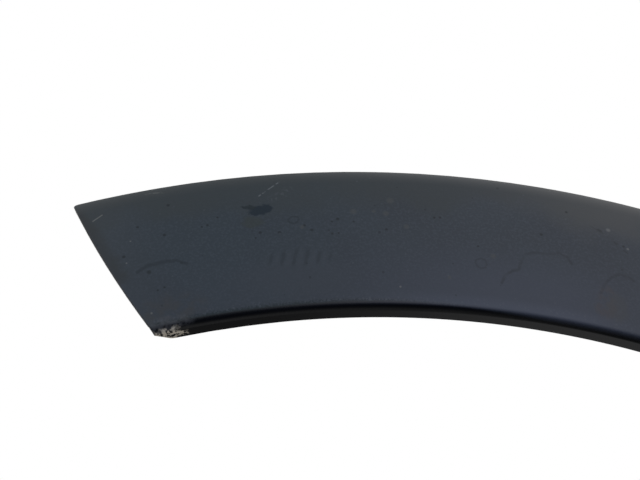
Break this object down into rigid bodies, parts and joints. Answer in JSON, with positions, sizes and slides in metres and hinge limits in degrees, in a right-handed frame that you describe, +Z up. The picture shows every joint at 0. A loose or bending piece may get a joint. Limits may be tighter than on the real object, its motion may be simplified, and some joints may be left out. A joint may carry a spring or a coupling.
{
  "type": "hood wheel-arch trim",
  "caption": "Curved black plastic trim strip that covers a hood's edge above a wheel opening, with a crowned face, a return flange and clip towers behind.",
  "frame": {"origin": "on the panel plane, midway between the two inner clip seats", "axes": "+X along the chord of the arch, to the right as seen from outside; +Y inboard, towards the hood panel; +Z up at the middle of the arch"},
  "size_m": [0.4929, 0.0245, 0.1304],
  "materials": {
    "trim_plastic": "satin, weathered, with water stains and fine scratches"
  },
  "bodies": {
    "root": {"hood_arch_trim": "trim_plastic"}
  },
  "joints": []
}
